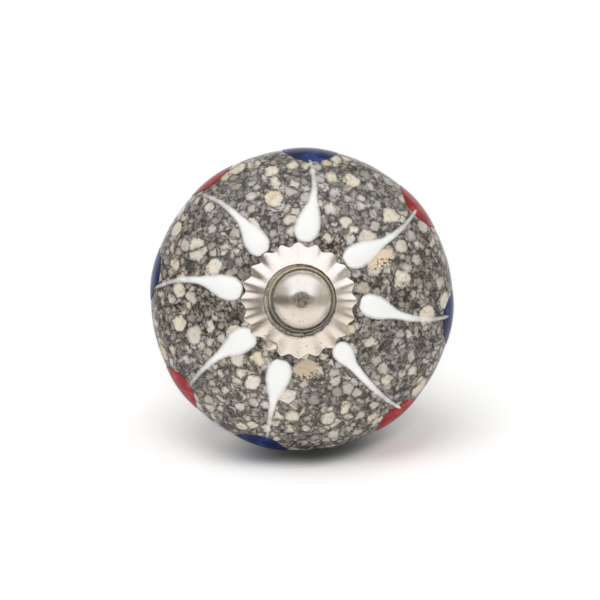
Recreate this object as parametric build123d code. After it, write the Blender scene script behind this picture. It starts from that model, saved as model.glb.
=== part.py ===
"""A glazed ceramic cabinet knob with raised white slip drops and nickel-plated fittings.

The pieces are turned about a local Z axis that points out of the door, with the mounting face at z = 0.
They are then laid into the row frame: the front faces -Y, up is +Z and the stud runs back along +Y.
All sizes are in millimetres and all angles in degrees.
"""

import os
from math import cos, hypot, radians, sin, sqrt

from build123d import *

# Ceramic body
KNOB_DIAMETER = 42.0
FRONT_RISE = 11.5  # from the widest circle to the crown of the front curve
BACK_RISE = 12.5  # from the mounting face to the widest circle
FOOT_DIAMETER = 23.0
FOOT_HEIGHT = 1.0
FOOT_ROUND = 0.5  # rounding of the foot's outer edge
BORE_PLAY = 0.8  # radial room for the stud in the bore

# Stud and the fasteners on it
STUD_DIAMETER = 5.0
STUD_REACH = 35.0  # free thread behind the mounting face
STUD_POINT = 0.6  # chamfer at the free end
THREAD_PITCH = 0.8
THREAD_PLAY = 0.02  # radial room where a nut is engaged on the stud
NUT_ACROSS_FLATS = 8.0
NUT_CORNER_ANGLE = 30.0  # slope of the chamfer on a nut's corners
CLAMP_NUT_HEIGHT = 2.7
FIXING_NUT_HEIGHT = 4.0
WASHER_DIAMETER = 12.0
WASHER_THICKNESS = 1.0
WASHER_PLAY = 0.25  # radial room of the plain washers on the stud
PANEL_THICKNESS = 18.0  # the door or drawer front that the fixing nut is set for

# Recess in the back that hides the clamp nut
RECESS_PLAY = 1.5  # radial room round the clamp washer, for a socket
RECESS_COVER = 1.5  # depth left between the clamp nut and the mounting face

# Domed cap nut
DOME_DIAMETER = 8.55
DOME_HEIGHT = 3.6
CAP_FLANGE_DIAMETER = 9.0
CAP_FLANGE_HEIGHT = 0.55
CAP_FLANGE_ROUND = 0.2
CAP_CROWN_WALL = 1.5  # metal left over the end of the blind thread

# Fluted front washer
SHEET = 0.4
FLUTE_COUNT = 20
BRIM_WIDTH = 2.0  # from the crest to the middle of the toothed edge
TOOTH_REACH = 0.28  # how far a tooth stands out from, and a gap cuts into, that edge
FLUTE_LIFT = 0.24  # how far a tooth rises above, and a gap dips below, that edge
BRIM_GAP = 0.2  # from the glaze to the underside of a gap
CREST_HEIGHT = 1.35  # top of the crest above the seat
CREST_RUN = 0.65  # from the foot of the dish wall to the crest
FRONT_WASHER_PLAY = 0.55  # radial room on the stud
FRONT_WASHER_SHIFT = (-0.40, -0.12)  # it sits off centre by this much of that room
DISH_PLAY = 0.05  # room round the cap's flange on the shifted washer
SEAT_MARGIN = 0.3  # flat ceramic round the washer's dish

# White slip drops
DROP_HEAD_WIDTH = 3.3
DROP_WAIST = 0.96  # width of the drawn part where it leaves the ball of the head
DROP_NECK_WIDTH = 0.84
DROP_TIP_WIDTH = 0.44
DROP_RELIEF = 0.35  # height of a drop as a share of its half width
DROP_SECTIONS = 9
DROP_SHOULDER = (0.16, 0.60)  # stretch of the length over which the head narrows to the tail
TAIL_GAP = 0.35  # from the tip of a tail to its enamel dot

# Enamel dots on the rim
DOT_WIDTH = 7.2
DOT_LENGTH = 8.4
ENAMEL = 0.15

# Each drop by hand: head angle, swing of the tail, bend between, head width share, gap to the brim's teeth
DROPS = [
    (39.0, 0.0, -3.1, 1.00, -0.40),
    (86.4, 0.4, -3.1, 1.00, -0.30),
    (129.2, 4.5, -4.4, 0.97, 0.00),
    (171.9, 4.1, -5.4, 0.98, 0.25),
    (214.4, 3.6, -2.7, 1.08, 0.15),
    (252.5, 2.8, -0.7, 1.02, 0.20),
    (308.0, 4.5, -2.1, 0.83, -0.40),
    (355.0, -1.2, -3.9, 0.92, -0.30),
]
# Each dot by hand, at the end of the drop with the same place in the list: angle, set forward of the rim
DOTS = [
    (38.8, 0.0),
    (86.8, 0.4),
    (127.0, -0.6),
    (170.0, -0.5),
    (216.0, 0.3),
    (254.5, 0.0),
    (309.5, 0.3),
    (353.8, -0.1),
]

# Radii and heights that follow from the sizes above
rim_radius = KNOB_DIAMETER / 2
foot_radius = FOOT_DIAMETER / 2
stud_radius = STUD_DIAMETER / 2
pitch_radius = stud_radius - 0.3248 * THREAD_PITCH  # an engaged nut and the stud meet at the pitch circle
thread_radius = pitch_radius + THREAD_PLAY
bore_radius = stud_radius + BORE_PLAY
washer_radius = WASHER_DIAMETER / 2
recess_radius = washer_radius + RECESS_PLAY
recess_depth = WASHER_THICKNESS + CLAMP_NUT_HEIGHT + RECESS_COVER
flange_radius = CAP_FLANGE_DIAMETER / 2
dome_radius = DOME_DIAMETER / 2
washer_shift = hypot(*FRONT_WASHER_SHIFT)
dish_radius = flange_radius + washer_shift + DISH_PLAY
crest_radius = dish_radius + CREST_RUN
edge_radius = crest_radius + BRIM_WIDTH
tooth_radius = edge_radius + TOOTH_REACH
gap_radius = edge_radius - TOOTH_REACH
seat_radius = crest_radius + washer_shift + SEAT_MARGIN


def front_height(radius):
    """Height of the glazed front above the mounting face at a radius from the axis."""
    return BACK_RISE + FRONT_RISE * sqrt(1 - (radius / rim_radius) ** 2)


seat_height = front_height(seat_radius)
cap_height = seat_height + SHEET
cap_thread_depth = CAP_FLANGE_HEIGHT + DOME_HEIGHT - CAP_CROWN_WALL
clamp_face = recess_depth - WASHER_THICKNESS
fixing_face = -PANEL_THICKNESS - WASHER_THICKNESS


def ring(outer, inner, bottom, height):
    """A plain washer or sleeve standing on z = bottom."""
    return Pos(0, 0, bottom) * (extrude(Circle(outer) - Circle(inner), height))


def curved_half(skin):
    """Half section of the body's front and back curves, grown outward by a skin."""
    back_curve = (BACK_RISE - FOOT_HEIGHT) / sqrt(1 - (foot_radius / rim_radius) ** 2)
    middle = (0, BACK_RISE)
    rim = (rim_radius + skin, BACK_RISE)
    front = EllipticalCenterArc(middle, rim_radius + skin, FRONT_RISE + skin, 0, arc_size=90)
    back = EllipticalCenterArc(middle, rim_radius + skin, back_curve + skin, 270, arc_size=90)
    upper = make_face([front, Line(front @ 1, middle), Line(middle, rim)])
    lower = make_face([back, Line(rim, middle), Line(middle, back @ 0)])
    return upper + lower


def ceramic_body():
    """The pressed body: domed front with a flat seat, tapering back, foot, bore and nut recess."""
    half = curved_half(0)
    half -= Pos(rim_radius / 2, seat_height + FRONT_RISE / 2) * Rectangle(rim_radius, FRONT_RISE)
    half -= Pos(rim_radius / 2, FOOT_HEIGHT - BACK_RISE / 2) * Rectangle(rim_radius, BACK_RISE)
    body = revolve(Plane.XZ * half, Axis.Z)
    foot = extrude(Circle(foot_radius), FOOT_HEIGHT)
    foot = fillet(foot.edges().sort_by(Axis.Z)[0], FOOT_ROUND)
    body += foot
    body -= extrude(Circle(recess_radius), recess_depth)
    body -= extrude(Circle(bore_radius), seat_height)
    return body


def fluted_washer():
    """The pressed front washer: a dished middle, a raised crest and a fluted brim with a toothed edge."""
    crest_under = CREST_HEIGHT - SHEET
    corner = dish_radius + SHEET / 2
    dish = make_face(
        [
            Polyline(
                (crest_radius, crest_under),
                (corner, 0),
                (stud_radius + FRONT_WASHER_PLAY, 0),
                (stud_radius + FRONT_WASHER_PLAY, SHEET),
                (dish_radius, SHEET),
                (crest_radius - SHEET, CREST_HEIGHT - SHEET / 3),
            ),
            ThreePointArc(
                (crest_radius - SHEET, CREST_HEIGHT - SHEET / 3),
                (crest_radius - SHEET / 2, CREST_HEIGHT - SHEET / 16),
                (crest_radius, CREST_HEIGHT),
            ),
            Line((crest_radius, CREST_HEIGHT), (crest_radius, crest_under)),
        ]
    )
    pitch = 360 / FLUTE_COUNT
    gap_height = front_height(gap_radius + washer_shift) - seat_height + BRIM_GAP
    gap = Vector(gap_radius, 0, gap_height)
    tip = Vector(tooth_radius, 0, gap_height + 2 * FLUTE_LIFT)
    sideways = Vector(0, 1, 0)
    tooth = Spline(
        [gap.rotate(Axis.Z, -pitch / 2), tip, gap.rotate(Axis.Z, pitch / 2)],
        tangents=[sideways.rotate(Axis.Z, -pitch / 2), sideways.rotate(Axis.Z, pitch / 2)],
    )
    crest = Pos(0, 0, crest_under) * CenterArc((0, 0), crest_radius, -pitch / 2, pitch)
    flute = Solid.extrude(Face.make_surface_from_curves(crest.edge(), tooth.edge()), Vector(0, 0, SHEET))
    flutes = [Rot(0, 0, pitch * step) * flute for step in range(FLUTE_COUNT)]
    washer = revolve(Plane.XZ * dish, Axis.Z) + flutes
    return Pos(*FRONT_WASHER_SHIFT, seat_height) * washer


def domed_cap_nut():
    """The turned cap: a dome on a thin flange, with a blind threaded hole for the stud."""
    ball_radius = (DOME_HEIGHT**2 + dome_radius**2) / (2 * DOME_HEIGHT)
    ball_centre = CAP_FLANGE_HEIGHT + DOME_HEIGHT - ball_radius
    ball = Pos(0, ball_centre) * Circle(ball_radius)
    upper_half = Rectangle(dome_radius, DOME_HEIGHT, align=(Align.MIN, Align.MIN))
    dome = ball & Pos(0, CAP_FLANGE_HEIGHT) * upper_half
    flange = Pos(flange_radius / 2, CAP_FLANGE_HEIGHT / 2) * Rectangle(flange_radius, CAP_FLANGE_HEIGHT)
    flange = fillet(flange.vertices().sort_by(Axis.Y)[-2:].sort_by(Axis.X)[-1], CAP_FLANGE_ROUND)
    hole = Pos(thread_radius / 2, cap_thread_depth / 2) * Rectangle(thread_radius, cap_thread_depth)
    cap = revolve(Plane.XZ * (dome + flange - hole), Axis.Z)
    return Pos(0, 0, cap_height) * cap


def threaded_stud():
    """The stud from the cap's blind hole to its free end, with the pitch circle inside each nut."""
    free_end = fixing_face - FIXING_NUT_HEIGHT
    tail = extrude(Circle(stud_radius), free_end + STUD_REACH)
    stud = Pos(0, 0, -STUD_REACH) * chamfer(tail.edges().sort_by(Axis.Z)[0], STUD_POINT)
    stretches = [
        (pitch_radius, free_end, fixing_face),
        (stud_radius, fixing_face, clamp_face - CLAMP_NUT_HEIGHT),
        (pitch_radius, clamp_face - CLAMP_NUT_HEIGHT, clamp_face),
        (stud_radius, clamp_face, cap_height),
        (pitch_radius, cap_height, cap_height + cap_thread_depth),
    ]
    for radius, bottom, top in stretches:
        stud += Pos(0, 0, bottom) * extrude(Circle(radius), top - bottom)
    return stud


def hex_nut(height, top):
    """A hexagon nut with chamfered corners, hanging below z = top."""
    corner_radius = NUT_ACROSS_FLATS / sqrt(3)
    drop = (corner_radius - NUT_ACROSS_FLATS / 2) * sin(radians(NUT_CORNER_ANGLE))
    blank = extrude(RegularPolygon(corner_radius, 6), height)
    turned = chamfer(extrude(Circle(corner_radius), height).edges().sort_by(Axis.Z)[0], drop, 2 * drop)
    nut = (blank & turned) - extrude(Circle(thread_radius), height)
    return Pos(0, 0, top - height) * nut


def drop_point(head_angle, swing, bend, head_radius, tip_radius, share):
    """A point on the middle line of a drop, on the glaze, at a share of the way from head to tip."""
    radius = head_radius + (tip_radius - head_radius) * share
    angle = radians(head_angle + swing * share + 4 * bend * share * (1 - share))
    return Vector(radius * cos(angle), radius * sin(angle), front_height(radius))


def glaze_normal(point):
    """The outward direction of the glazed front at a point on it."""
    return Vector(
        point.X / rim_radius**2, point.Y / rim_radius**2, (point.Z - BACK_RISE) / FRONT_RISE**2
    ).normalized()


def drop_half_width(share, head):
    """Half width of a drop: a full head that narrows over its shoulder to a thin tail."""
    start, end = DROP_SHOULDER
    along = min(max((share - start) / (end - start), 0), 1)
    fullness = 1 - along * along * (3 - 2 * along)
    tail = (DROP_NECK_WIDTH + (DROP_TIP_WIDTH - DROP_NECK_WIDTH) * share) / 2
    return tail + (head - tail) * fullness


def slip_drop(body, head_angle, swing, bend, width_share, brim_gap, tip_radius):
    """One trailed drop: a ball head drawn out along a curved tail, standing proud of the glaze."""
    head = DROP_HEAD_WIDTH / 2 * width_share
    head_radius = tooth_radius + brim_gap + head
    route = (head_angle, swing, bend, head_radius, tip_radius)
    ball = (1 + DROP_RELIEF**2) / (2 * DROP_RELIEF)
    sections = []
    for step in range(DROP_SECTIONS):
        share = step / (DROP_SECTIONS - 1)
        point = drop_point(*route, share)
        ahead = drop_point(*route, share + 0.01) - drop_point(*route, share - 0.01)
        outward = glaze_normal(point)
        half_width = drop_half_width(share, head * DROP_WAIST)
        centre = point - outward * half_width * (ball - DROP_RELIEF)
        sections.append(Plane(centre, x_dir=outward, z_dir=ahead) * Circle(ball * half_width))
    point = drop_point(*route, 0)
    knob = Pos(point - glaze_normal(point) * head * (ball - DROP_RELIEF)) * Sphere(ball * head)
    return (knob - body) + (loft(sections) - body)


def slip_drops(body):
    """The trailed drops that ring the front washer, each ending short of its enamel dot."""
    drops = []
    for (head_angle, swing, bend, width_share, brim_gap), (_, forward) in zip(DROPS, DOTS):
        reach = (DOT_LENGTH / 2 + forward) / FRONT_RISE
        tip_radius = rim_radius * sqrt(1 - reach**2) - TAIL_GAP
        drops.append(slip_drop(body, head_angle, swing, bend, width_share, brim_gap, tip_radius))
    return drops


def enamel_dots(body, first):
    """Every second enamel dot round the rim, starting with the first, as thin pads on the glaze."""
    coat = revolve(Plane.XZ * curved_half(ENAMEL), Axis.Z) - body
    dots = []
    for angle, forward in DOTS[first::2]:
        outward = Vector(cos(radians(angle)), sin(radians(angle)), 0)
        inside = outward * foot_radius + Vector(0, 0, BACK_RISE + forward)
        start = Plane(inside, x_dir=(0, 0, 1), z_dir=outward)
        outline = start * Ellipse(DOT_LENGTH / 2, DOT_WIDTH / 2)
        dots.append(coat & extrude(outline, rim_radius + 2 * ENAMEL - foot_radius))
    return dots


def save(name, *pieces):
    """Lay a node's pieces into the row frame and write them to one file."""
    laid = [Rot(90, 0, 0) * piece for piece in pieces]
    export_step(laid[0] if len(laid) == 1 else Compound(children=laid), f"parts/{name}.step")


os.makedirs("parts", exist_ok=True)
ceramic = ceramic_body()
save("ceramic_body", ceramic)
save("white_slip_drops", *slip_drops(ceramic))
save("red_enamel_dots", *enamel_dots(ceramic, 0))
save("blue_enamel_dots", *enamel_dots(ceramic, 1))
save("fluted_washer", fluted_washer())
save("domed_cap_nut", domed_cap_nut())
save("threaded_stud", threaded_stud())
save("clamp_washer", ring(washer_radius, stud_radius + WASHER_PLAY, clamp_face, WASHER_THICKNESS))
save("clamp_nut", hex_nut(CLAMP_NUT_HEIGHT, clamp_face))
save("fixing_washer", ring(washer_radius, stud_radius + WASHER_PLAY, fixing_face, WASHER_THICKNESS))
save("fixing_nut", hex_nut(FIXING_NUT_HEIGHT, fixing_face))
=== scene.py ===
"""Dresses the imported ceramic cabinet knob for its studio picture.

Pieces are shaped in millimetres in a turning frame: local Z runs out of the door along the knob's axis,
X to the right and Y up as seen from the front, with the mounting face at z = 0. Each finished mesh is then
laid into the row frame, in metres, with the front facing -Y and the stud running back along +Y.
"""

import logging
import math
from dataclasses import dataclass
from enum import Enum
from typing import Sequence, Union

import bmesh
import bpy
from mathutils import Matrix, Vector, noise


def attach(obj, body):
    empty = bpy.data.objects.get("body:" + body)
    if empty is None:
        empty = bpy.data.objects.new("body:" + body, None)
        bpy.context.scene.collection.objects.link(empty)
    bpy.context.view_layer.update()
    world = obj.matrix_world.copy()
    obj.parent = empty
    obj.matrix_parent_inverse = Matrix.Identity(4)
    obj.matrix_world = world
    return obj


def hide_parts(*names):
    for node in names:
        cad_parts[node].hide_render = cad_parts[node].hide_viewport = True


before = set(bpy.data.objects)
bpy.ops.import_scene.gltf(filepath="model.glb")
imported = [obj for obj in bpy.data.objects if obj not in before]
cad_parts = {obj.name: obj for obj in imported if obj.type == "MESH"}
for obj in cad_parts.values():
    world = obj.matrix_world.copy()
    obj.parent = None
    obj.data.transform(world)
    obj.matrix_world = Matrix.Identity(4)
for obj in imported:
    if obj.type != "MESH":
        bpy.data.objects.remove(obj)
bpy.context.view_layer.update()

LOG = logging.getLogger("knob")
MM = 0.001
TINY = 1e-6
TO_ROW = Matrix.Scale(MM, 4) @ Matrix.Rotation(math.radians(90), 4, "X")
BLACK = (0.0, 0.0, 0.0)

Colour = tuple[float, float, float]
Point = tuple[float, float, float]
Stops = tuple[tuple[float, Colour], ...]
Profile = list[tuple[float, float]]
Offsets = tuple[tuple[float, float], ...]
Object = bpy.types.Object
Material = bpy.types.Material
Shape = bmesh.types.BMesh
Layer = bmesh.types.BMLayerItem
Node = bpy.types.Node
Socket = bpy.types.NodeSocket
Feed = Union[Socket, float]
Tint = Union[Socket, Colour]
# Limits say where a smooth ramp starts and ends, then its results there if they are not 0 and 1.
Limits = tuple[float, ...]


class Slot(Enum):
    """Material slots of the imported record."""

    GLAZE = "granite_glaze"
    SLIP = "white_slip"
    RED = "red_enamel"
    BLUE = "blue_enamel"
    PLATE = "plated_brass"
    ZINC = "zinc_steel"


def smoothstep(low: float, high: float, value: float) -> float:
    """Smooth ramp from 0 at low to 1 at high."""
    along = min(max((value - low) / (high - low), 0.0), 1.0)
    return along * along * (3.0 - 2.0 * along)


def bell(value: float, middle: float, width: float) -> float:
    """Bell-shaped bump that is 1 at its middle."""
    return math.exp(-(((value - middle) / width) ** 2))


def linear(red: int, green: int, blue: int) -> Colour:
    """Scene-linear colour of an 8-bit display colour."""
    parts = [value / 255.0 for value in (red, green, blue)]
    return tuple(p / 12.92 if p <= 0.04045 else ((p + 0.055) / 1.055) ** 2.4 for p in parts)


def dimmed(colour: Colour, share: float) -> Colour:
    """A darker shade of a colour."""
    return tuple(value * share for value in colour)


@dataclass(frozen=True)
class KnobSizes:
    """Sizes of the knob that its pieces share, in millimetres.

    The front limit is the share of the rim's radius up to which the front's slope is followed.
    """

    rim_radius: float = 21.0
    front_rise: float = 11.5
    back_rise: float = 12.5
    foot_radius: float = 11.5
    foot_height: float = 1.0
    seat_radius: float = 6.335
    bore_radius: float = 3.3
    recess_radius: float = 7.5
    recess_depth: float = 5.2
    sheet: float = 0.4
    cap_hole_depth: float = 2.65
    stud_radius: float = 2.5
    stud_reach: float = 35.0
    front_limit: float = 0.9999

    def front_height(self, radius: float) -> float:
        """Height of the glazed front at a radius from the axis."""
        share = min(radius / self.rim_radius, 1.0)
        return self.back_rise + self.front_rise * math.sqrt(1.0 - share * share)

    @property
    def back_curve(self) -> float:
        """Half depth of the ellipse that the back follows down to the foot."""
        share = self.foot_radius / self.rim_radius
        return (self.back_rise - self.foot_height) / math.sqrt(1.0 - share * share)

    @property
    def seat_height(self) -> float:
        """Height of the flat seat under the front washer."""
        return self.front_height(self.seat_radius)

    @property
    def cap_height(self) -> float:
        """Height of the face that the domed cap sits on."""
        return self.seat_height + self.sheet

    def front_point(self, x: float, y: float) -> tuple[Vector, Vector]:
        """Point of the glazed front over x and y, with the outward direction there.

        Args:
            x: distance to the right of the axis.
            y: distance above the axis.

        Returns:
            The point and its unit normal.
        """
        radius = math.hypot(x, y)
        height = self.front_height(min(radius, self.rim_radius * self.front_limit))
        rim = self.rim_radius**2
        outward = Vector((x / rim, y / rim, (height - self.back_rise) / self.front_rise**2))
        return Vector((x, y, height)), outward.normalized()

    def rim_point(self, angle: float, height: float) -> tuple[Vector, Vector]:
        """Point of the rim region at an angle round the axis and a height, with the outward direction there.

        Args:
            angle: angle round the axis, in radians.
            height: height above the mounting face.

        Returns:
            The point and its unit normal.
        """
        rise = self.front_rise if height >= self.back_rise else self.back_curve
        above = height - self.back_rise
        radius = self.rim_radius * math.sqrt(max(1.0 - (above / rise) ** 2, 0.0))
        across = Vector((math.cos(angle), math.sin(angle), 0.0))
        outward = across * (radius / self.rim_radius**2) + Vector((0.0, 0.0, above / rise**2))
        return across * radius + Vector((0.0, 0.0, height)), outward.normalized()


KNOB = KnobSizes()


@dataclass(frozen=True)
class Cloud:
    """A soft noise: its scale, detail, roughness and the step that sets it apart from others."""

    scale: float
    detail: float = 2.0
    rough: float = 0.5
    step: Point = (0.0, 0.0, 0.0)


class NodeSheet:
    """A node tree with short ways to add and join nodes."""

    def __init__(self, tree: bpy.types.NodeTree) -> None:
        """Starts with an empty tree."""
        self.tree = tree
        self.tree.nodes.clear()

    def add(self, kind: str, **settings: object) -> Node:
        """Adds a node.

        Args:
            kind: the node's type.
            settings: properties of the node and their values.

        Returns:
            The node.
        """
        node = self.tree.nodes.new(kind)
        for name, value in settings.items():
            setattr(node, name, value)
        return node

    def join(self, source: Union[Feed, Sequence[float]], target: Socket) -> None:
        """Feeds a socket.

        Args:
            source: another socket's output, or a fixed value.
            target: the socket.
        """
        if isinstance(source, Socket):
            self.tree.links.new(source, target)
        else:
            target.default_value = source

    def millimetres(self, centre: Sequence[float] = (0.0, 0.0, 0.0)) -> Socket:
        """Object coordinates in millimetres.

        Args:
            centre: point of the row frame, in millimetres, that becomes the origin.

        Returns:
            The coordinates' socket.
        """
        coordinates = self.add("ShaderNodeTexCoord")
        mapping = self.add("ShaderNodeMapping")
        mapping.inputs["Scale"].default_value = (1 / MM,) * 3
        mapping.inputs["Location"].default_value = tuple(-value for value in centre)
        self.join(coordinates.outputs["Object"], mapping.inputs["Vector"])
        return mapping.outputs["Vector"]

    def axis(self, vector: Socket, name: str) -> Socket:
        """One axis of a vector.

        Args:
            vector: the vector.
            name: X, Y or Z.

        Returns:
            The number's socket.
        """
        split = self.add("ShaderNodeSeparateXYZ")
        self.join(vector, split.inputs[0])
        return split.outputs[name]

    def maths(self, operation: str, *values: Feed, clamp: bool = False) -> Socket:
        """A sum on up to three numbers.

        Args:
            operation: the sum, as the node names it.
            values: the numbers, in the node's order.
            clamp: whether the result is kept between 0 and 1.

        Returns:
            The result's socket.
        """
        node = self.add("ShaderNodeMath", operation=operation, use_clamp=clamp)
        for place, value in enumerate(values):
            self.join(value, node.inputs[place])
        return node.outputs[0]

    def product(self, first: Feed, second: Feed) -> Socket:
        """Two numbers multiplied."""
        return self.maths("MULTIPLY", first, second)

    def rest(self, share: Socket) -> Socket:
        """What a share leaves of 1."""
        return self.maths("SUBTRACT", 1.0, share)

    def step(self, value: Feed, low: float, high: float, start: float = 0.0, end: float = 1.0) -> Socket:
        """Smooth ramp of a number.

        Args:
            value: the number.
            low: where the ramp starts.
            high: where the ramp ends.
            start: the result up to low.
            end: the result from high on.

        Returns:
            The result's socket.
        """
        node = self.add("ShaderNodeMapRange", interpolation_type="SMOOTHSTEP")
        for place, number in enumerate((value, low, high, start, end)):
            self.join(number, node.inputs[place])
        return node.outputs[0]

    def vector_maths(
        self, operation: str, vector: Socket, by: Sequence[float] = (0.0, 0.0, 0.0)
    ) -> Node:
        """A sum on a vector and a fixed one.

        Args:
            operation: the sum, as the node names it.
            vector: the vector.
            by: the fixed vector, for sums that take one.

        Returns:
            The node.
        """
        node = self.add("ShaderNodeVectorMath", operation=operation)
        self.join(vector, node.inputs[0])
        node.inputs[1].default_value = tuple(by)
        return node

    def moved(self, place: Socket, by: Sequence[float]) -> Socket:
        """Coordinates moved by a fixed step, so that another layer of the same texture differs."""
        return self.vector_maths("ADD", place, by).outputs["Vector"]

    def dot(self, vector: Socket, way: Sequence[float]) -> Socket:
        """How far a vector reaches along a way."""
        return self.vector_maths("DOT_PRODUCT", vector, way).outputs["Value"]

    def length(self, vector: Socket) -> Socket:
        """Length of a vector."""
        return self.vector_maths("LENGTH", vector).outputs["Value"]

    def soft_noise(self, place: Socket, cloud: Cloud) -> Node:
        """Soft noise.

        Args:
            place: coordinates in millimetres.
            cloud: the noise's scale and character.

        Returns:
            The node.
        """
        node = self.add("ShaderNodeTexNoise")
        self.join(self.moved(place, cloud.step) if any(cloud.step) else place, node.inputs["Vector"])
        node.inputs["Scale"].default_value = cloud.scale
        node.inputs["Detail"].default_value = cloud.detail
        node.inputs["Roughness"].default_value = cloud.rough
        return node

    def grain(self, place: Socket, cloud: Cloud) -> Socket:
        """Soft noise as a number between 0 and 1."""
        return self.soft_noise(place, cloud).outputs[0]

    def shaken(self, place: Socket, scale: float, reach: float) -> Socket:
        """Coordinates pushed about by noise, to make straight borders ragged.

        Args:
            place: coordinates in millimetres.
            scale: scale of the noise per millimetre.
            reach: how far the noise pushes.

        Returns:
            The pushed coordinates' socket.
        """
        ways = self.soft_noise(place, Cloud(scale)).outputs["Color"]
        push = self.vector_maths("MULTIPLY_ADD", ways, (reach,) * 3)
        self.join(place, push.inputs[2])
        return push.outputs["Vector"]

    def cells(self, place: Socket, scale: float, feature: str = "F1") -> Node:
        """Cell texture.

        Args:
            place: coordinates in millimetres.
            scale: scale of the cells per millimetre.
            feature: what is measured, as the node names it.

        Returns:
            The node.
        """
        node = self.add("ShaderNodeTexVoronoi", feature=feature)
        self.join(place, node.inputs["Vector"])
        node.inputs["Scale"].default_value = scale
        return node

    def chances(self, cells: Node) -> list[Socket]:
        """Three random numbers of each cell.

        Args:
            cells: node of a cell texture.

        Returns:
            The numbers' sockets.
        """
        split = self.add("ShaderNodeSeparateColor")
        self.join(cells.outputs["Color"], split.inputs[0])
        return split.outputs[:3]

    def attribute(self, name: str) -> Socket:
        """A number that the mesh holds at its points."""
        return self.add("ShaderNodeAttribute", attribute_name=name).outputs["Fac"]

    def ramp(self, value: Socket, stops: Stops) -> Socket:
        """Colours along a number.

        Args:
            value: the number.
            stops: places between 0 and 1 and their colours.

        Returns:
            The colour's socket.
        """
        node = self.add("ShaderNodeValToRGB")
        elements = node.color_ramp.elements
        while len(elements) < len(stops):
            elements.new(1.0)
        for element, (place, colour) in zip(elements, stops):
            element.position = place
            element.color = (*colour, 1.0)
        self.join(value, node.inputs[0])
        return node.outputs[0]

    def blend(self, share: Feed, under: Tint, over: Tint, how: str = "MIX") -> Socket:
        """One colour over another.

        Args:
            share: how much of the upper colour shows.
            under: the lower colour.
            over: the upper colour.
            how: the way they mix, as the node names it.

        Returns:
            The mixed colour's socket.
        """
        node = self.add("ShaderNodeMix", data_type="RGBA", blend_type=how)
        self.join(share, node.inputs[0])
        for colour, place in ((under, 6), (over, 7)):
            fixed = not isinstance(colour, Socket)
            self.join((*colour, 1.0) if fixed else colour, node.inputs[place])
        return node.outputs[2]

    def mixed_shaders(self, share: Socket, under: Node, over: Node) -> Node:
        """One shader over another.

        Args:
            share: how much of the upper shader shows.
            under: node of the lower shader.
            over: node of the upper shader.

        Returns:
            The mixing node.
        """
        node = self.add("ShaderNodeMixShader")
        for place, source in enumerate((share, under.outputs[0], over.outputs[0])):
            self.join(source, node.inputs[place])
        return node


class MaterialSheet(NodeSheet):
    """A material's node tree around one glossy surface."""

    def __init__(self, name: str) -> None:
        """Starts a material with one glossy surface joined to its output.

        Args:
            name: name of the material.
        """
        self.material = bpy.data.materials.new(name)
        self.material.use_nodes = True
        super().__init__(self.material.node_tree)
        self.output = self.add("ShaderNodeOutputMaterial")
        self.surface = self.add("ShaderNodeBsdfPrincipled")
        self.join(self.surface.outputs[0], self.output.inputs["Surface"])

    def paint(self, colour: Socket) -> None:
        """Sets the surface's colour."""
        self.join(colour, self.surface.inputs["Base Color"])

    def gloss(self, roughness: Feed, metallic: Feed = 0.0) -> None:
        """Sets how the surface shines."""
        self.join(roughness, self.surface.inputs["Roughness"])
        self.join(metallic, self.surface.inputs["Metallic"])

    def relief(self, height: Socket, depth: float) -> None:
        """Roughens the surface.

        Args:
            height: the relief's height.
            depth: millimetres for a height of 1.
        """
        bump = self.add("ShaderNodeBump")
        bump.inputs["Distance"].default_value = depth * MM
        self.join(height, bump.inputs["Height"])
        self.join(bump.outputs[0], self.surface.inputs["Normal"])


@dataclass(frozen=True)
class GrainLayer:
    """One size of stone grain in the speckled ground, in millimetres, with reach as a share of the pitch."""

    pitch: float
    share: float
    colours: Stops
    step: Point = (0.0, 0.0, 0.0)
    crowding: float = 0.6
    vein: float = 0.05
    ragged: float = 0.45
    soft: float = 0.22
    line: float = 0.9
    freckle: float = 0.5
    haze: float = 0.3
    reach: tuple[float, float] = (0.42, 0.62)


@dataclass(frozen=True)
class StainedGrain:
    """One large grain with brown specks: its place and half sizes in millimetres, its lean in degrees."""

    right: float
    up: float
    half_length: float
    half_width: float
    lean: float
    tone: Colour


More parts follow.
